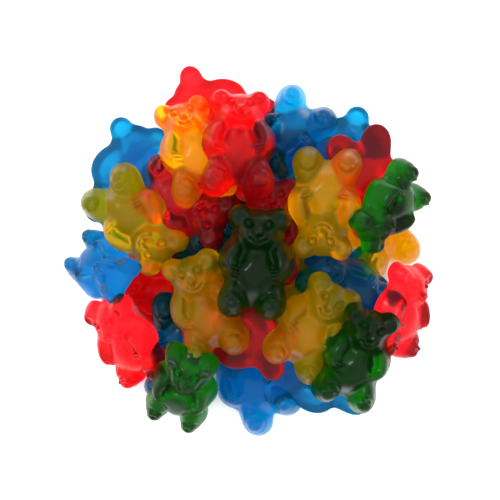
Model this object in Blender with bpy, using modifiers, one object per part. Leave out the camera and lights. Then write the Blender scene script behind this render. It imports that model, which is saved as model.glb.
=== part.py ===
"""A heap of gummy bears as it lies on a flat surface, as one solid.

Units are metres with +Z up, and the origin is the middle of the heap's footprint
at the surface it lies on. The layout of the bears is worked out in millimetres.
"""

import math

import bmesh
import bpy
import numpy as np
from mathutils import Matrix, Vector

MM = 0.001

# One bear, lying on its flat back with its head along +Y. Each lobe is
# x, y, half width, half length, height and turn, in millimetres and degrees.
LOBES = (
    (0.0, 5.5, 4.0, 4.4, 7.8, 0.0),
    (4.0, 9.0, 1.5, 1.6, 4.6, 0.0),
    (-4.0, 9.0, 1.5, 1.6, 4.6, 0.0),
    (0.0, -2.0, 4.7, 5.8, 8.2, 0.0),
    (4.6, 0.6, 1.9, 3.2, 6.6, 18.0),
    (-4.6, 0.6, 1.9, 3.2, 6.6, -18.0),
    (4.1, -8.1, 2.4, 3.0, 7.0, 12.0),
    (-4.1, -8.1, 2.4, 3.0, 7.0, -12.0),
)
RIM_WIDTH = 0.9        # the low brim that runs round the bear, millimetres
RIM_HEIGHT = 2.4
WEB = 7.0              # how sharply the brim follows the notches between lobes
DOME_POWER = 2.6       # how full each lobe is: 2 is an ellipsoid
BLEND = 8              # how sharply lobes meet in the relief

# Where each bear lies: colour, x, y, turn of its head from +Y, and face up or
# not, in millimetres and degrees. They lie on each other in this order. Some
# entries end with how far the head end and the right side are raised, or None,
# and with the bear's size against the mould's.
HEAP = (
    # on the surface
    ("red", -19.5, -9.5, 70, True),
    ("blue", 15.6, -28.3, 88, False),
    ("blue", 1.2, -28.7, 36, True),
    ("blue", -26.0, 16.6, -17, False),
    ("blue", 18.2, 22.2, -65, False),
    ("red", -5.7, 30.0, 64, False),
    ("green", -11.0, 3.0, 80, True),
    ("blue", 9.0, 4.0, 65, True),
    ("green", 3.0, -12.0, 100, True),
    ("blue", 25.0, -11.0, 15, False),
    ("red", -3.0, 13.5, 95, False),
    # the middle of the heap
    ("blue", -29.8, -5.2, -123, True, (54, 0), 0.88),
    ("blue", 8.3, 23.2, 144, True),
    ("blue", -5.5, 1.0, -30, True),
    ("blue", -14.3, -21.8, 172, True),
    ("yellow", 11.5, -11.0, 30, True),
    ("red", -0.5, -18.8, -118, False),
    ("red", 4.8, 4.2, -3, True),
    ("red", -12.6, 9.8, -117, True),
    ("blue", 22.3, -9.4, 54, True),
    ("yellow", 28.2, 6.2, 24, True),
    ("red", 27.2, 14.3, -163, False),
    # on top
    ("yellow", -23.4, 6.2, -139, True),
    ("yellow", -11.0, 21.3, 16, True),
    ("red", -1.3, 22.7, -2, True, None, 1.02),
    ("green", 29.6, 9.3, 120, True, (36, 36), 0.87),
    ("yellow", 17.2, 9.6, 177, True, None, 1.05),
    ("red", -25.4, -18.9, 15, True, (33, 33), 0.93),
    ("red", 32.8, -12.7, -4, True, (22, -46), 0.92),
    ("yellow", -8.3, -12.0, 17, True, None, 1.02),
    ("green", -12.8, -28.5, -20, True, (46, 0), 0.95),
    ("yellow", 14.3, -16.2, -32, True, None, 0.96),
    ("green", 24.0, -22.8, -18, True, None, 0.98),
    ("green", 2.5, -2.6, -5, True, (0, 0), 1.05),
)

# How the bears settle on each other.
CELL = 0.5             # spacing of the height map and of a bear's samples
REACH = 60.0           # half the width of the height map
SMOOTHING = 5.0        # a bear bridges hollows narrower than about this
LEVELLING = 0.55       # share of the slope below it that a bear takes up
MAX_TILT = 14.0        # degrees
PRESSED = 24.0         # percent of an underside that sinks into those below
PROPPED = 14.0         # and of a bear that leans at a set angle

# The solid.
VOXEL = 0.9
TRIANGLES = 9400
SKIRT = 3.0            # how far the solid is built below the surface before it is cut
SPHERE_SEGMENTS = 16
SPHERE_RINGS = 10
COLUMN_SIDES = 16

COLOURS = {"heap": (0.62, 0.16, 0.05, 1.0)}
ROUGHNESS = 0.3


def radial(x, y, lobe, grow=0.0):
    """Distance from a lobe's middle, as a share of its half widths."""
    cx, cy, half_width, half_length, _, turn = lobe
    cos, sin = math.cos(math.radians(turn)), math.sin(math.radians(turn))
    u = (cos * (x - cx) + sin * (y - cy)) / (half_width + grow)
    v = (-sin * (x - cx) + cos * (y - cy)) / (half_length + grow)
    return np.sqrt(u * u + v * v)


def relief(x, y):
    """Height of the bear's front above its flat back."""
    total = np.zeros_like(x)
    web = np.zeros_like(x)
    for lobe in LOBES:
        dome = lobe[4] * np.sqrt(np.clip(1 - radial(x, y, lobe) ** DOME_POWER, 0, 1))
        total += dome ** BLEND
        web += np.exp(-WEB * (radial(x, y, lobe, RIM_WIDTH) - 1))
    inside = np.clip(np.log(np.maximum(web, 1e-9)) / WEB / 0.25, 0, 1)
    total += (RIM_HEIGHT * np.sqrt(1 - (1 - inside) ** 2)) ** BLEND
    return total ** (1 / BLEND)


def bear_samples():
    """Points over the front and the flat back of one bear."""
    x, y = np.meshgrid(np.arange(-9.5, 9.6, CELL), np.arange(-13.5, 13.6, CELL))
    x, y = x.ravel(), y.ravel()
    z = relief(x, y)
    x, y, z = x[z > 0], y[z > 0], z[z > 0]
    return np.stack([x, y, z], axis=1), np.stack([x, y, 0 * z], axis=1)


def orientation(turn, face_up, slope):
    """Rotation of a bear whose back lies on a plane of this slope."""
    normal = np.array([-slope[0], -slope[1], 1.0])
    normal /= np.linalg.norm(normal)
    head = np.array([-math.sin(math.radians(turn)), math.cos(math.radians(turn)), 0.0])
    head -= normal * (head @ normal)
    head /= np.linalg.norm(head)
    rotation = np.stack([np.cross(head, normal), head, normal], axis=1)
    if not face_up:
        rotation = rotation @ np.diag([-1.0, 1.0, -1.0])
    return rotation


def smoothed(heights):
    """The height map blurred by SMOOTHING."""
    reach = int(3 * SMOOTHING / CELL)
    kernel = np.exp(-0.5 * (np.arange(-reach, reach + 1) * CELL / SMOOTHING) ** 2)
    kernel /= kernel.sum()
    for axis in (0, 1):
        heights = np.apply_along_axis(np.convolve, axis, heights, kernel, mode="same")
    return heights


def cells(points, x, y):
    """Indices of the height map's cells under points moved to x, y."""
    last = int(2 * REACH / CELL)
    across = np.rint((points[:, 0] + x + REACH) / CELL).astype(int)
    along = np.rint((points[:, 1] + y + REACH) / CELL).astype(int)
    return np.clip(across, 0, last), np.clip(along, 0, last)


def set_slope(turn, raised):
    """The slope of a bear whose head end and right side are raised by angles."""
    head = np.array([-math.sin(math.radians(turn)), math.cos(math.radians(turn))])
    right = np.array([head[1], -head[0]])
    return head * math.tan(math.radians(raised[0])) + right * math.tan(math.radians(raised[1]))


def settled_slope(below, under, x, y, turn, face_up):
    """The slope of the plane that fits the heap below a bear, evened out."""
    slope = np.zeros(2)
    for _ in range(3):
        points = under @ orientation(turn, face_up, slope).T
        plane = np.column_stack([points[:, :2], np.ones(len(points))])
        fit = np.linalg.lstsq(plane, below[cells(points, x, y)], rcond=None)[0]
        slope = LEVELLING * fit[:2]
        steepest = math.tan(math.radians(MAX_TILT))
        slope *= min(1.0, steepest / max(np.linalg.norm(slope), 1e-9))
    return slope


def settle():
    """Lay the bears on each other. Gives the turn, with the size, and place of each."""
    front, back = bear_samples()
    size = int(2 * REACH / CELL) + 1
    heights = np.zeros((size, size))
    placed = []
    for _, x, y, turn, face_up, *rest in HEAP:
        raised, share = rest or (None, 1.0)
        under, upper = (back * share, front * share) if face_up else (front * share, back * share)
        if raised:
            slope = set_slope(turn, raised)
        else:
            below = smoothed(heights)
            slope = settled_slope(below, under, x, y, turn, face_up)
        rotation = orientation(turn, face_up, slope)
        points = under @ rotation.T
        lift = heights[cells(points, x, y)] - points[:, 2]
        sunk = PROPPED if raised else PRESSED
        z = max(np.percentile(lift, 100 - sunk), -points[:, 2].min())
        points = upper @ rotation.T
        layer = np.zeros_like(heights)
        np.maximum.at(layer, cells(points, x, y), points[:, 2] + z)
        filled = layer.copy()
        for across in (-1, 0, 1):
            for along in (-1, 0, 1):
                moved = np.roll(layer, (across, along), axis=(0, 1))
                filled = np.maximum(filled, moved * (layer == 0))
        heights = np.maximum(heights, filled)
        placed.append((rotation * share, np.array([x, y, z])))
    return placed


def clear_scene():
    for thing in list(bpy.data.objects):
        bpy.data.objects.remove(thing, do_unlink=True)


def add_lobe(solid, place, lobe):
    """A rounded lobe with its part of the brim."""
    cx, cy, half_width, half_length, height, turn = lobe
    spin = Matrix.Rotation(math.radians(turn), 4, "Z")
    middle = 0.45 * height
    dome = (Matrix.Translation((cx, cy, middle)) @ spin
            @ Matrix.Diagonal((half_width + 0.3, half_length + 0.3, height - middle, 1)))
    bmesh.ops.create_uvsphere(solid, u_segments=SPHERE_SEGMENTS, v_segments=SPHERE_RINGS,
                              radius=1, matrix=place @ dome)
    brim = (Matrix.Translation((cx, cy, RIM_HEIGHT / 2)) @ spin
            @ Matrix.Diagonal((half_width + RIM_WIDTH, half_length + RIM_WIDTH, RIM_HEIGHT, 1)))
    bmesh.ops.create_cone(solid, cap_ends=True, segments=COLUMN_SIDES, radius1=1,
                          radius2=0.85, depth=1, matrix=place @ brim)


def add_column(solid, place, lobe):
    """Fills the heap below a lobe, down past the surface it lies on."""
    top = place @ Vector((lobe[0], lobe[1], 0.5 * RIM_HEIGHT))
    depth = top.z + SKIRT
    column = Matrix.Translation((top.x, top.y, top.z - depth / 2))
    radius = min(lobe[2], lobe[3])
    bmesh.ops.create_cone(solid, cap_ends=True, segments=COLUMN_SIDES, radius1=radius,
                          radius2=radius, depth=depth, matrix=column)


def heap_mesh():
    """All the bears and what is below them, as overlapping closed shapes."""
    solid = bmesh.new()
    for rotation, position in settle():
        place = Matrix.Translation(position.tolist()) @ Matrix(rotation.tolist()).to_4x4()
        for lobe in LOBES:
            add_lobe(solid, place, lobe)
            add_column(solid, place, lobe)
    bmesh.ops.scale(solid, vec=(MM, MM, MM), verts=solid.verts)
    mesh = bpy.data.meshes.new("heap")
    solid.to_mesh(mesh)
    solid.free()
    return mesh


def applied(thing, modifier_name):
    """The object's mesh with its modifiers applied, in place of its own."""
    graph = bpy.context.evaluated_depsgraph_get()
    mesh = bpy.data.meshes.new_from_object(thing.evaluated_get(graph), depsgraph=graph)
    thing.modifiers.remove(thing.modifiers[modifier_name])
    thing.data = mesh


def cut_flat(mesh):
    """Cut the mesh level at the surface and centre it over the origin."""
    solid = bmesh.new()
    solid.from_mesh(mesh)
    everything = solid.verts[:] + solid.edges[:] + solid.faces[:]
    cut = bmesh.ops.bisect_plane(solid, geom=everything, plane_co=(0, 0, 0),
                                 plane_no=(0, 0, 1), clear_inner=True)
    rim = [edge for edge in cut["geom_cut"] if isinstance(edge, bmesh.types.BMEdge)]
    bmesh.ops.triangle_fill(solid, edges=rim, use_beauty=True, normal=(0, 0, -1))
    bmesh.ops.recalc_face_normals(solid, faces=solid.faces)
    low = [min(vert.co[axis] for vert in solid.verts) for axis in range(3)]
    high = [max(vert.co[axis] for vert in solid.verts) for axis in range(3)]
    middle = Vector(((low[0] + high[0]) / 2, (low[1] + high[1]) / 2, low[2]))
    bmesh.ops.translate(solid, vec=-middle, verts=solid.verts)
    solid.to_mesh(mesh)
    solid.free()


def candy_material(name):
    material = bpy.data.materials.new(name)
    material.use_nodes = True
    shader = material.node_tree.nodes["Principled BSDF"]
    shader.inputs["Base Color"].default_value = COLOURS[name]
    shader.inputs["Roughness"].default_value = ROUGHNESS
    shader.inputs["Metallic"].default_value = 0.0
    return material


def make_heap():
    collection = bpy.data.collections.new("gummy_bears")
    bpy.context.scene.collection.children.link(collection)
    heap = bpy.data.objects.new("heap", heap_mesh())
    collection.objects.link(heap)

    remesh = heap.modifiers.new("join", "REMESH")
    remesh.mode = "VOXEL"
    remesh.voxel_size = VOXEL * MM
    applied(heap, "join")

    triangulate = heap.modifiers.new("triangles", "TRIANGULATE")
    thin = heap.modifiers.new("thin", "DECIMATE")
    thin.ratio = TRIANGLES / (2 * len(heap.data.polygons))
    graph = bpy.context.evaluated_depsgraph_get()
    mesh = bpy.data.meshes.new_from_object(heap.evaluated_get(graph), depsgraph=graph)
    heap.modifiers.remove(thin)
    heap.modifiers.remove(triangulate)
    heap.data = mesh
    cut_flat(mesh)
    mesh.name = "heap"
    mesh.materials.clear()
    mesh.materials.append(candy_material("heap"))
    mesh.shade_smooth()


clear_scene()
make_heap()
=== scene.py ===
"""The looks of a heap of gummy bears.

Every bear in the heap is its own closed shape, cast in one of three moulds and
settled on those below it. Each colour is one piece. Lengths are in millimetres
until a mesh is made, where MM turns them into metres. The stage is in metres.
"""

import math

import bpy
import numpy as np
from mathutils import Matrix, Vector


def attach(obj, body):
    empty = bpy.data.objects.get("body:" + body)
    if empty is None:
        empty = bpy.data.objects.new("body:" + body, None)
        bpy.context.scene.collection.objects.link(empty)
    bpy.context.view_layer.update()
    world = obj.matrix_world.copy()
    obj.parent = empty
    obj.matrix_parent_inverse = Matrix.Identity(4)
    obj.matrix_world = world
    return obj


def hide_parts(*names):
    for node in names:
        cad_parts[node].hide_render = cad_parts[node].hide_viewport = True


MM = 0.001

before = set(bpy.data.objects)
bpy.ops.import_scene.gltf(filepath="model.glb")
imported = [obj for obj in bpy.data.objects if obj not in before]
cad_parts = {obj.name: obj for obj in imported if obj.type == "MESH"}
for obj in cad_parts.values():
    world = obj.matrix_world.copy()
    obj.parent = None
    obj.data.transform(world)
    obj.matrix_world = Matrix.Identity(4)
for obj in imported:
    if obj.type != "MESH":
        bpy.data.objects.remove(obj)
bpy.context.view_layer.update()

# ---------------------------------------------------------------- the layout

# Where each bear lies: colour, x, y, turn of its head from +Y, and face up or
# not, in millimetres and degrees. They lie on each other in this order. Some
# entries end with how far the head end and the right side are raised, or None,
# and with the bear's size against the mould's.
HEAP = (
    # on the surface
    ("red", -19.5, -9.5, 70, True),
    ("blue", 15.6, -28.3, 88, False),
    ("blue", 1.2, -28.7, 36, True),
    ("blue", -26.0, 16.6, -17, False),
    ("blue", 18.2, 22.2, -65, False),
    ("red", -5.7, 30.0, 64, False),
    ("green", -11.0, 3.0, 80, True),
    ("blue", 9.0, 4.0, 65, True),
    ("green", 3.0, -12.0, 100, True),
    ("blue", 25.0, -11.0, 15, False),
    ("red", -3.0, 13.5, 95, False),
    # the middle of the heap
    ("blue", -29.8, -5.2, -123, True, (54, 0), 0.88),
    ("blue", 8.3, 23.2, 144, True),
    ("blue", -5.5, 1.0, -30, True),
    ("blue", -14.3, -21.8, 172, True),
    ("yellow", 11.5, -11.0, 30, True),
    ("red", -0.5, -18.8, -118, False),
    ("red", 4.8, 4.2, -3, True),
    ("red", -12.6, 9.8, -117, True),
    ("blue", 22.3, -9.4, 54, True),
    ("yellow", 28.2, 6.2, 24, True),
    ("red", 27.2, 14.3, -163, False),
    # on top
    ("yellow", -23.4, 6.2, -139, True),
    ("yellow", -11.0, 21.3, 16, True),
    ("red", -1.3, 22.7, -2, True, None, 1.02),
    ("green", 29.6, 9.3, 120, True, (36, 36), 0.87),
    ("yellow", 17.2, 9.6, 177, True, None, 1.05),
    ("red", -25.4, -18.9, 15, True, (33, 33), 0.93),
    ("red", 32.8, -12.7, -4, True, (22, -46), 0.92),
    ("yellow", -8.3, -12.0, 17, True, None, 1.02),
    ("green", -12.8, -28.5, -20, True, (46, 0), 0.95),
    ("yellow", 14.3, -16.2, -32, True, None, 0.96),
    ("green", 24.0, -22.8, -18, True, None, 0.98),
    ("green", 2.5, -2.6, -5, True, (0, 0), 1.05),
)
NARROW = (33, 2, 3)    # bears with their feet together
WIDE = (24,)           # and with their feet apart

# The plain bear that the bears settle as: its lobes' x, y, half width, half
# length, height and turn.
LOBES = (
    (0.0, 5.5, 4.0, 4.4, 7.8, 0.0),
    (4.0, 9.0, 1.5, 1.6, 4.6, 0.0),
    (-4.0, 9.0, 1.5, 1.6, 4.6, 0.0),
    (0.0, -2.0, 4.7, 5.8, 8.2, 0.0),
    (4.6, 0.6, 1.9, 3.2, 6.6, 18.0),
    (-4.6, 0.6, 1.9, 3.2, 6.6, -18.0),
    (4.1, -8.1, 2.4, 3.0, 7.0, 12.0),
    (-4.1, -8.1, 2.4, 3.0, 7.0, -12.0),
)
RIM_WIDTH = 0.9        # the low brim that runs round the bear
RIM_HEIGHT = 2.4
WEB = 7.0              # how sharply the brim follows the notches between lobes
DOME_POWER = 2.6       # how full each lobe is: 2 is an ellipsoid
BLEND = 8              # how sharply lobes meet in the relief

# How the bears settle on each other.
CELL = 0.5             # spacing of the height map and of a bear's samples
REACH = 60.0           # half the width of the height map
SMOOTHING = 5.0        # a bear bridges hollows narrower than about this
LEVELLING = 0.55       # share of the slope below it that a bear takes up
MAX_TILT = 14.0        # degrees
PRESSED = 24.0         # percent of an underside that sinks into those below
PROPPED = 14.0         # and of a bear that leans at a set angle


def radial(x, y, lobe, grow=0.0):
    """Distance from a lobe's middle, as a share of its half widths."""
    cx, cy, half_width, half_length, _, turn = lobe
    cos, sin = math.cos(math.radians(turn)), math.sin(math.radians(turn))
    u = (cos * (x - cx) + sin * (y - cy)) / (half_width + grow)
    v = (-sin * (x - cx) + cos * (y - cy)) / (half_length + grow)
    return np.sqrt(u * u + v * v)


def relief(x, y):
    """Height of the plain bear's front above its flat back."""
    total = np.zeros_like(x)
    web = np.zeros_like(x)
    for lobe in LOBES:
        dome = lobe[4] * np.sqrt(np.clip(1 - radial(x, y, lobe) ** DOME_POWER, 0, 1))
        total += dome ** BLEND
        web += np.exp(-WEB * (radial(x, y, lobe, RIM_WIDTH) - 1))
    inside = np.clip(np.log(np.maximum(web, 1e-9)) / WEB / 0.25, 0, 1)
    total += (RIM_HEIGHT * np.sqrt(1 - (1 - inside) ** 2)) ** BLEND
    return total ** (1 / BLEND)


def bear_samples():
    """Points over the front and the flat back of the plain bear."""
    x, y = np.meshgrid(np.arange(-9.5, 9.6, CELL), np.arange(-13.5, 13.6, CELL))
    x, y = x.ravel(), y.ravel()
    z = relief(x, y)
    x, y, z = x[z > 0], y[z > 0], z[z > 0]
    return np.stack([x, y, z], axis=1), np.stack([x, y, 0 * z], axis=1)


def orientation(turn, face_up, slope):
    """Rotation of a bear whose back lies on a plane of this slope."""
    normal = np.array([-slope[0], -slope[1], 1.0])
    normal /= np.linalg.norm(normal)
    head = np.array([-math.sin(math.radians(turn)), math.cos(math.radians(turn)), 0.0])
    head -= normal * (head @ normal)
    head /= np.linalg.norm(head)
    rotation = np.stack([np.cross(head, normal), head, normal], axis=1)
    if not face_up:
        rotation = rotation @ np.diag([-1.0, 1.0, -1.0])
    return rotation


def smoothed(heights, width):
    """A height map blurred over a width."""
    reach = int(3 * width / CELL)
    kernel = np.exp(-0.5 * (np.arange(-reach, reach + 1) * CELL / width) ** 2)
    kernel /= kernel.sum()
    for axis in (0, 1):
        heights = np.apply_along_axis(np.convolve, axis, heights, kernel, mode="same")
    return heights


def cells(points, x, y):
    """Indices of the height map's cells under points moved to x, y."""
    last = int(2 * REACH / CELL)
    across = np.rint((points[:, 0] + x + REACH) / CELL).astype(int)
    along = np.rint((points[:, 1] + y + REACH) / CELL).astype(int)
    return np.clip(across, 0, last), np.clip(along, 0, last)


def set_slope(turn, raised):
    """The slope of a bear whose head end and right side are raised by angles."""
    head = np.array([-math.sin(math.radians(turn)), math.cos(math.radians(turn))])
    right = np.array([head[1], -head[0]])
    return head * math.tan(math.radians(raised[0])) + right * math.tan(math.radians(raised[1]))


def settled_slope(below, under, x, y, turn, face_up):
    """The slope of the plane that fits the heap below a bear, evened out."""
    slope = np.zeros(2)
    for _ in range(3):
        points = under @ orientation(turn, face_up, slope).T
        plane = np.column_stack([points[:, :2], np.ones(len(points))])
        fit = np.linalg.lstsq(plane, below[cells(points, x, y)], rcond=None)[0]
        slope = LEVELLING * fit[:2]
        steepest = math.tan(math.radians(MAX_TILT))
        slope *= min(1.0, steepest / max(np.linalg.norm(slope), 1e-9))
    return slope


def settle():
    """Lay the bears on each other. Gives the turn, with the size, and place of each."""
    front, back = bear_samples()
    size = int(2 * REACH / CELL) + 1
    heights = np.zeros((size, size))
    placed = []
    for _, x, y, turn, face_up, *rest in HEAP:
        raised, share = rest or (None, 1.0)
        under, upper = (back * share, front * share) if face_up else (front * share, back * share)
        if raised:
            slope = set_slope(turn, raised)
        else:
            below = smoothed(heights, SMOOTHING)
            slope = settled_slope(below, under, x, y, turn, face_up)
        rotation = orientation(turn, face_up, slope)
        points = under @ rotation.T
        lift = heights[cells(points, x, y)] - points[:, 2]
        sunk = PROPPED if raised else PRESSED
        z = max(np.percentile(lift, 100 - sunk), -points[:, 2].min())
        points = upper @ rotation.T
        layer = np.zeros_like(heights)
        np.maximum.at(layer, cells(points, x, y), points[:, 2] + z)
        filled = layer.copy()
        for across in (-1, 0, 1):
            for along in (-1, 0, 1):
                moved = np.roll(layer, (across, along), axis=(0, 1))
                filled = np.maximum(filled, moved * (layer == 0))
        heights = np.maximum(heights, filled)
        placed.append((rotation * share, np.array([x, y, z])))
    return placed


# ------------------------------------------------------------- one gummy bear

SKIN_STEP = 0.24       # spacing of the samples that a bear's skin is drawn through
FILLET = 0.38          # how softly lobes run into each other
BACK_ROUND = 0.35      # rounding of the edge round the back
OUTLINE_SCALE = 3.2    # millimetres for each whole share off the outline
SLABS = ((0.0, 3.3, 1.8), (0.8, 5.6, 2.6))  # inset, height and rounding of the brim's steps
BEAR_SIZE = 0.965      # the bears against the mould, after the gel has shrunk
BEAR_FLATTER = 0.95    # and how much more it shrinks in height
BEAR_TRIANGLES = 15000


def dome(x, y, z, place, size, height, turn=0.0, fullness=2.5):
    """Roughly the distance to a domed lobe that stands on the back."""
    share = radial(x, y, (*place, *size, height, turn))
    reach = (share ** fullness + (np.abs(z) / height) ** fullness) ** (1 / fullness)
    return (reach - 1) * min(*size, height)


def joined(shapes, fillet):
    """Shapes run into each other with a fillet."""
    total = sum(np.exp(-np.clip(shape / fillet, -60, 60)) for shape in shapes)
    return -fillet * np.log(total)


def bump(x, y, place, size, turn=0.0):
    """A soft round mark that is 1 in its middle."""
    share = radial(x, y, (*place, *size, 0, turn))
    return np.exp(-share ** 2 * 1.4)


def ring(x, y, place, radius, width, start=0.0, end=360.0):
    """A soft mark along an arc, with its ends at two bearings in degrees."""
    dx, dy = x - place[0], y - place[1]
    along = np.degrees(np.arctan2(dy, dx)) % 360
    middle, half = (start + end) / 2, (end - start) / 2
    off = np.abs((along - middle + 180) % 360 - 180) - half
    past = np.clip(off, 0, None) * math.pi / 180 * radius
    return np.exp(-((np.hypot(dx, dy) - radius) ** 2 + past ** 2) / width ** 2 * 1.4)


def line(x, y, start, end, width):
    """A soft mark along a straight line."""
    start, end = np.array(start, float), np.array(end, float)
    reach = end - start
    share = ((x - start[0]) * reach[0] + (y - start[1]) * reach[1]) / (reach @ reach)
    share = np.clip(share, 0, 1)
    dx, dy = x - start[0] - share * reach[0], y - start[1] - share * reach[1]
    return np.exp(-(dx ** 2 + dy ** 2) / width ** 2 * 1.4)


def face_marks(x, y):
    """How far the eyes, nose, muzzle and mouth stand out of the face."""
    marks = 0.42 * bump(x, y, (0, 6.35), (0.95, 0.68))
    marks -= 0.22 * ring(x, y, (0, 6.35), 1.15, 0.3, 150, 390)
    for side in (-1, 1):
        marks -= 0.3 * ring(x, y, (side * 2.0, 7.9), 0.82, 0.3)
        marks += 0.3 * bump(x, y, (side * 2.0, 7.85), (0.5, 0.5))
        marks += 0.16 * bump(x, y, (side * 0.85, 4.75), (0.95, 0.75))
        marks += 0.2 * bump(x, y, (side * 2.6, 5.2), (0.7, 0.8))
    marks -= 0.26 * ring(x, y, (0, 6.1), 1.95, 0.33, 215, 325)
    marks -= 0.12 * line(x, y, (0, 5.6), (0, 4.6), 0.22)
    return marks


def limb_marks(x, y, foot):
    """How far the ears, fingers and soles stand out or in."""
    marks = np.zeros_like(x)
    for side in (-1, 1):
        marks -= 0.75 * bump(x, y, (side * 4.15, 9.35), (1.05, 1.1))
        for finger in (-1, 0, 1):
            tip = (side * (3.5 - 0.15 * abs(finger)), -2.3 + 0.85 * finger)
            root = (side * 4.9, -2.0 + 0.8 * finger)
            marks -= 0.16 * line(x, y, tip, root, 0.25)
        sole = (side * foot, -9.2)
        marks -= 0.2 * ring(x, y, sole, 2.15, 0.4)
        marks += 0.25 * bump(x, y, (sole[0], sole[1] - 0.55), (1.2, 0.95))
        for toe in (-1, 0, 1):
            angle = math.radians(90 + 48 * toe)
            place = (sole[0] + 1.35 * math.cos(angle), sole[1] + 1.25 * math.sin(angle))
            marks += 0.28 * bump(x, y, place, (0.48, 0.5))
    return marks


def slab(outline, z, inset, height, rounding):
    """The inside of an outline up to a height, with its upper edge rounded."""
    across = outline + inset + rounding
    above = z - (height - rounding)
    corner = np.hypot(np.clip(across, 0, None), np.clip(above, 0, None))
    return corner + np.clip(np.maximum(across, above), None, 0) - rounding


def bear_field(x, y, z, spread):
    """Roughly the distance to a bear's skin, negative inside. Spread opens its legs."""
    foot = 4.0 + 0.7 * spread
    splay = 6 + 10 * spread
    body = [
        dome(x, y, z, (0, 6.0), (4.6, 4.7), 6.2, fullness=2.8),
        dome(x, y, z, (0, 5.8), (3.9, 4.4), 7.2, fullness=3.2),
        dome(x, y, z, (0, 4.9), (2.5, 2.3), 7.9, fullness=2.6),
        dome(x, y, z, (0, -2.4), (4.4, 5.9), 7.7, fullness=2.6),
    ]
    brim = [radial(x, y, (0, 6.0, 5.1, 4.9, 0, 0)), radial(x, y, (0, -2.2, 6.3, 7.2, 0, 0))]
    for side in (-1, 1):
        body += [
            dome(x, y, z, (side * 4.1, 9.3), (1.9, 2.0), 5.3, fullness=3.4),
            dome(x, y, z, (side * 4.8, 1.5), (1.9, 3.2), 6.7, side * 24),
            dome(x, y, z, (side * 5.5, -0.9), (1.7, 2.0), 6.4, side * -20),
            dome(x, y, z, (side * 4.3, -2.3), (2.1, 1.6), 7.3, side * 22),
            dome(x, y, z, (side * foot * 0.93, -6.6), (2.6, 3.0), 6.5, side * splay),
            dome(x, y, z, (side * foot, -9.1), (2.6, 2.8), 6.8, side * splay, 4.2),
        ]
        brim += [
            radial(x, y, (side * 4.1, 9.4, 2.4, 2.4, 0, 0)),
            radial(x, y, (side * 5.2, 0.8, 2.6, 3.9, 0, side * 16)),
            radial(x, y, (side * foot, -8.8, 3.2, 3.6, 0, side * splay)),
        ]
    total = sum(np.exp(-np.clip(WEB * (share - 1), -60, 60)) for share in brim)
    outline = -np.log(total) / WEB * OUTLINE_SCALE
    body += [slab(outline, z, *layer) for layer in SLABS]
    skin = joined(body, FILLET)
    skin -= (face_marks(x, y) + limb_marks(x, y, foot)) * np.clip((z - 2.5) / 2, 0, 1)
    # flat on its back, with a rounded edge
    return slab(skin, -z, 0, 0, BACK_ROUND)


def skin_through(field, corner, step):
    """A smooth closed skin where a sampled field passes zero: points and quads."""
    sums = np.zeros((field.size, 3))
    hits = np.zeros(field.size)
    quads = []
    for axis in range(3):
        ahead = np.roll(field, -1, axis)
        edges = np.argwhere((field < 0) != (ahead < 0))
        here, there = field[tuple(edges.T)], ahead[tuple(edges.T)]
        points = edges.astype(float)
        points[:, axis] += here / (here - there)
        corners = []
        for first, second in ((0, 0), (1, 0), (1, 1), (0, 1)):
            cell = edges.copy()
            cell[:, (axis + 1) % 3] -= first
            cell[:, (axis + 2) % 3] -= second
            flat = np.ravel_multi_index(cell.T, field.shape)
            np.add.at(sums, flat, points)
            np.add.at(hits, flat, 1)
            corners.append(flat)
        corners = np.stack(corners, axis=1)
        inward = here > 0
        corners[inward] = corners[inward, ::-1]
        quads.append(corners)
    quads = np.concatenate(quads)
    used, faces = np.unique(quads, return_inverse=True)
    return corner + step * sums[used] / hits[used, None], faces.reshape(-1, 4)


def mesh_arrays(mesh):
    """A mesh's points and triangles as arrays."""
    points = np.empty(3 * len(mesh.vertices))
    mesh.vertices.foreach_get("co", points)
    mesh.calc_loop_triangles()
    triangles = np.empty(3 * len(mesh.loop_triangles), dtype=np.int32)
    mesh.loop_triangles.foreach_get("vertices", triangles)
    return points.reshape(-1, 3), triangles.reshape(-1, 3)


def cast_bear(spread):
    """The points and triangles of a bear from the mould with this leg spread."""
    low = np.array([-11.0, -14.5, -0.9])
    high = np.array([11.0, 13.5, 11.0])
    axes = [np.arange(low[axis], high[axis], SKIN_STEP) for axis in range(3)]
    x, y, z = np.meshgrid(*axes, indexing="ij")
    points, quads = skin_through(bear_field(x, y, z, spread), low, SKIN_STEP)
    mesh = bpy.data.meshes.new("mould")
    mesh.from_pydata(points.tolist(), [], quads.tolist())
    mould = bpy.data.objects.new("mould", mesh)
    bpy.context.scene.collection.objects.link(mould)
    thin = mould.modifiers.new("thin", "DECIMATE")
    thin.ratio = BEAR_TRIANGLES / (2 * len(quads))
    graph = bpy.context.evaluated_depsgraph_get()
    arrays = mesh_arrays(mould.evaluated_get(graph).to_mesh())
    bpy.data.objects.remove(mould, do_unlink=True)
    bpy.data.meshes.remove(mesh)
    return arrays


# ------------------------------------------------------------------ the heap

SEED = 11
SIZE_VARIES = 0.015
BOW_VARIES = 0.003     # how much a bear is bowed sideways, per millimetre
LEAN_VARIES = 0.02     # and skewed
GAP = 0.06             # left between bears that touch
THINNEST = 0.8         # a bear is never pressed thinner than this
KEPT = 4.5             # and gives way less than the one below from here on
PRESS_BLUR = 1.3       # how softly bears press into each other


def varied(points, chance):
    """A bear a little bigger or smaller than the mould, bowed and skewed."""
    x, y, z = (points * BEAR_SIZE * (1 + SIZE_VARIES * chance.standard_normal(3))).T
    bow = BOW_VARIES * chance.standard_normal()
    lean = LEAN_VARIES * chance.standard_normal()
    return np.stack([x + bow * y * y + lean * y, y, BEAR_FLATTER * z], axis=1)


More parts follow.
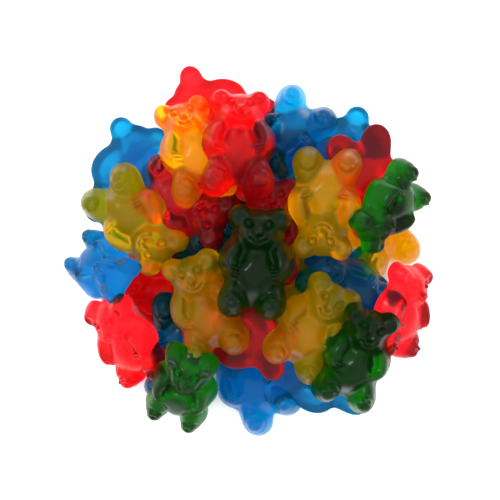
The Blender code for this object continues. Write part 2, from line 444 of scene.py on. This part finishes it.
def pile_up(bears):
    """Press bears that overlap apart, halfway each, and off the floor."""
    size = int(2 * REACH / CELL) + 1
    spans = []
    for points in bears:
        where = cells(points, 0, 0)
        top = np.full((size, size), -np.inf)
        bottom = np.full((size, size), np.inf)
        np.maximum.at(top, where, points[:, 2])
        np.minimum.at(bottom, where, points[:, 2])
        spans.append([bottom.copy(), top.copy(), bottom, top])
    for index, (_, _, bottom, top) in enumerate(spans):
        bottom[:] = np.where(np.isfinite(bottom), np.maximum(bottom, GAP), bottom)
        for _, _, lower_bottom, lower_top in spans[:index]:
            over = np.isfinite(bottom) & np.isfinite(lower_top) & (lower_top + GAP > bottom)
            contact = np.where(over, (lower_top + bottom) / 2, 0)
            contact = np.minimum(contact, np.where(over, top - KEPT, 0))
            contact = np.maximum(contact, np.where(over, lower_bottom, 0) + THINNEST + GAP / 2)
            lower_top[over] = contact[over] - GAP / 2
            bottom[over] = contact[over] + GAP / 2
        top[:] = np.where(np.isfinite(top), np.maximum(top, bottom + THINNEST), top)
    pressed = []
    for points, (bottom, top, new_bottom, new_top) in zip(bears, spans):
        pressed.append(press(points, bottom, top, new_bottom, new_top))
    return pressed


def press(points, bottom, top, new_bottom, new_top):
    """Move a bear's points so that its columns span new heights."""
    inside = np.isfinite(top)
    raised = np.where(inside, new_bottom - bottom, 0.0)
    lowered = np.where(inside, new_top - top, 0.0)
    weight = smoothed(inside.astype(float), PRESS_BLUR) + 1e-6
    raised = smoothed(raised, PRESS_BLUR) / weight
    lowered = smoothed(lowered, PRESS_BLUR) / weight
    low = smoothed(np.where(inside, bottom, 0.0), PRESS_BLUR) / weight
    high = smoothed(np.where(inside, top, 0.0), PRESS_BLUR) / weight
    across = (points[:, 0] + REACH) / CELL
    along = (points[:, 1] + REACH) / CELL

    def sampled(field):
        i, j = np.floor(across).astype(int), np.floor(along).astype(int)
        u, v = across - i, along - j
        return ((1 - u) * (1 - v) * field[i, j] + u * (1 - v) * field[i + 1, j]
                + (1 - u) * v * field[i, j + 1] + u * v * field[i + 1, j + 1])

    thickness = np.maximum(sampled(high) - sampled(low), 1.0)
    share = np.clip((points[:, 2] - sampled(low)) / thickness, 0, 1)
    share = share * share * (3 - 2 * share)
    moved = points.copy()
    moved[:, 2] += share * sampled(lowered) + (1 - share) * sampled(raised)
    moved[:, 2] = np.maximum(moved[:, 2], GAP)
    return moved


def lay_bears():
    """Every bear of the heap in place: its colour, points and triangles."""
    moulds = {spread: cast_bear(spread) for spread in (0.0, 0.5, 1.0)}
    chance = np.random.default_rng(SEED)
    bears, shapes = [], []
    for index, (rotation, position) in enumerate(settle()):
        spread = 0.0 if index in NARROW else 1.0 if index in WIDE else 0.5
        points, triangles = moulds[spread]
        bears.append(varied(points, chance) @ rotation.T + position)
        shapes.append(triangles)
    bears = pile_up(bears)
    low = np.min([points.min(axis=0) for points in bears], axis=0)
    high = np.max([points.max(axis=0) for points in bears], axis=0)
    shift = np.array([-(low[0] + high[0]) / 2, -(low[1] + high[1]) / 2, 0])
    return [(row[0], points + shift, triangles)
            for row, points, triangles in zip(HEAP, bears, shapes)]


def add_piece(name, parts, material):
    """One piece from the points and triangles of several bears."""
    points, triangles, first = [], [], 0
    for part_points, part_triangles in parts:
        points.append(part_points)
        triangles.append(part_triangles + first)
        first += len(part_points)
    points = np.concatenate(points) * MM
    triangles = np.concatenate(triangles)
    mesh = bpy.data.meshes.new(name)
    mesh.from_pydata(points.tolist(), [], triangles.tolist())
    mesh.materials.append(material)
    mesh.shade_smooth()
    piece = bpy.data.objects.new(name, mesh)
    bpy.context.scene.collection.objects.link(piece)
    return piece


# -------------------------------------------------------------- the materials

# For each colour: the body colour, the colour that deep gel lets through, how
# strongly it takes up the rest, per metre, and how clear it is.
GELS = {
    "red": ((1.0, 0.02, 0.035), (1.0, 0.22, 0.27), 80.0, 0.95),
    "yellow": ((1.0, 0.62, 0.001), (1.0, 0.88, 0.12), 50.0, 0.93),
    "green": ((0.006, 0.18, 0.003), (0.20, 0.75, 0.15), 130.0, 0.975),
    "blue": ((0.001, 0.58, 0.86), (0.12, 0.50, 0.76), 190.0, 0.98),
}
TONE_SIZE = 9.0        # millimetres across the slow changes of tone
HAZE_SIZE = 3.0        # and across the changes of gloss
DARKER = 0.86          # how much darker the tone gets in places
ROUGHNESS = (0.3, 0.42)
RIPPLE = 0.12          # strength of the faint bump
RIPPLE_DEPTH = 0.3     # millimetres
GEL_IOR = 1.32
SHEEN_TINT = 0.1       # how much of its plain reflection the gel keeps
COAT = 0.12            # share of the thin glossy skin
COAT_ROUGHNESS = 0.12
COAT_IOR = 1.4
FLOOR_COLOUR = (0.93, 0.93, 0.93, 1)


def gel(name):
    """Translucent gel with soft uneven gloss."""
    body, deep, strength, clarity = GELS[name]
    material = bpy.data.materials.new("gummy_" + name)
    material.use_nodes = True
    nodes, links = material.node_tree.nodes, material.node_tree.links
    shader = nodes["Principled BSDF"]
    place = nodes.new("ShaderNodeTexCoord")

    tone = nodes.new("ShaderNodeTexNoise")
    tone.inputs["Scale"].default_value = 1 / (TONE_SIZE * MM)
    tone.inputs["Detail"].default_value = 1.0
    links.new(place.outputs["Object"], tone.inputs["Vector"])
    shade = nodes.new("ShaderNodeValToRGB")
    shade.color_ramp.elements[0].position = 0.35
    shade.color_ramp.elements[0].color = (*[DARKER * value for value in body], 1)
    shade.color_ramp.elements[1].position = 0.65
    shade.color_ramp.elements[1].color = (*body, 1)
    links.new(tone.outputs["Fac"], shade.inputs["Fac"])
    links.new(shade.outputs["Color"], shader.inputs["Base Color"])

    haze = nodes.new("ShaderNodeTexNoise")
    haze.inputs["Scale"].default_value = 1 / (HAZE_SIZE * MM)
    haze.inputs["Detail"].default_value = 2.0
    links.new(place.outputs["Object"], haze.inputs["Vector"])
    gloss = nodes.new("ShaderNodeMapRange")
    gloss.inputs["From Min"].default_value = 0.3
    gloss.inputs["From Max"].default_value = 0.7
    gloss.inputs["To Min"].default_value = ROUGHNESS[0]
    gloss.inputs["To Max"].default_value = ROUGHNESS[1]
    links.new(haze.outputs["Fac"], gloss.inputs["Value"])
    links.new(gloss.outputs["Result"], shader.inputs["Roughness"])

    ripple = nodes.new("ShaderNodeBump")
    ripple.inputs["Strength"].default_value = RIPPLE
    ripple.inputs["Distance"].default_value = RIPPLE_DEPTH * MM
    links.new(haze.outputs["Fac"], ripple.inputs["Height"])
    links.new(ripple.outputs["Normal"], shader.inputs["Normal"])

    shader.inputs["IOR"].default_value = GEL_IOR
    shader.inputs["Specular Tint"].default_value = (*3 * [SHEEN_TINT], 1)
    shader.inputs["Coat Weight"].default_value = COAT
    shader.inputs["Coat Roughness"].default_value = COAT_ROUGHNESS
    shader.inputs["Coat IOR"].default_value = COAT_IOR
    shader.inputs["Transmission Weight"].default_value = clarity
    absorb = nodes.new("ShaderNodeVolumeAbsorption")
    absorb.inputs["Color"].default_value = (*deep, 1)
    absorb.inputs["Density"].default_value = strength
    links.new(absorb.outputs["Volume"], nodes["Material Output"].inputs["Volume"])
    return material


def paper():
    """The plain pale surface that the heap lies on."""
    material = bpy.data.materials.new("pale_floor")
    material.use_nodes = True
    shader = material.node_tree.nodes["Principled BSDF"]
    shader.inputs["Base Color"].default_value = FLOOR_COLOUR
    shader.inputs["Roughness"].default_value = 0.9
    shader.inputs["Specular IOR Level"].default_value = 0.0
    return material


# ------------------------------------------------------------------ the stage

CAMERA_HEIGHT = 0.5
SENSOR = 36.0
LENS = 161.3
CAMERA_OFFSET = (0.7 * MM, 0.4 * MM)
FLOOR_SIZE = 4.0
WALL_TOP = 0.45        # heights on the sky where the dim walls end
CEILING = 0.8          # and the bright ceiling starts
WALL_LIGHT = 1.4
CEILING_LIGHT = 2.7
KEY_POWER = 4.0
KEY_SIZE = 0.16
KEY_PLACE = (-0.45, 0.35, 0.7)


def add_floor():
    bpy.ops.mesh.primitive_plane_add(size=FLOOR_SIZE)
    floor = bpy.context.object
    floor.name = "floor"
    floor.data.materials.append(paper())


def add_camera():
    data = bpy.data.cameras.new("camera")
    data.sensor_width = SENSOR
    data.lens = LENS
    camera = bpy.data.objects.new("camera", data)
    camera.location = (*CAMERA_OFFSET, CAMERA_HEIGHT)
    bpy.context.scene.collection.objects.link(camera)
    bpy.context.scene.camera = camera


def add_lights():
    scene = bpy.context.scene
    world = bpy.data.worlds.new("studio")
    scene.world = world
    world.use_nodes = True
    nodes, links = world.node_tree.nodes, world.node_tree.links
    direction = nodes.new("ShaderNodeTexCoord")
    height = nodes.new("ShaderNodeSeparateXYZ")
    walls = nodes.new("ShaderNodeMapRange")
    walls.interpolation_type = "SMOOTHSTEP"
    walls.inputs["From Min"].default_value = WALL_TOP
    walls.inputs["From Max"].default_value = CEILING
    walls.inputs["To Min"].default_value = WALL_LIGHT
    walls.inputs["To Max"].default_value = CEILING_LIGHT
    links.new(direction.outputs["Generated"], height.inputs["Vector"])
    links.new(height.outputs["Z"], walls.inputs["Value"])
    links.new(walls.outputs["Result"], nodes["Background"].inputs["Strength"])
    nodes["Background"].inputs["Color"].default_value = (1, 1, 1, 1)
    data = bpy.data.lights.new("key", "AREA")
    data.shape = "SQUARE"
    data.size = KEY_SIZE
    data.energy = KEY_POWER
    key = bpy.data.objects.new("key", data)
    key.location = KEY_PLACE
    key.rotation_euler = (-Vector(KEY_PLACE)).to_track_quat("-Z", "Y").to_euler()
    scene.collection.objects.link(key)
    scene.view_settings.view_transform = "Standard"


def build():
    add_camera()
    add_floor()
    add_lights()
    bears = lay_bears()
    for colour in GELS:
        parts = [(points, triangles) for name, points, triangles in bears if name == colour]
        piece = add_piece("bears_" + colour, parts, gel(colour))
        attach(piece, "root")
        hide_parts("heap")


build()
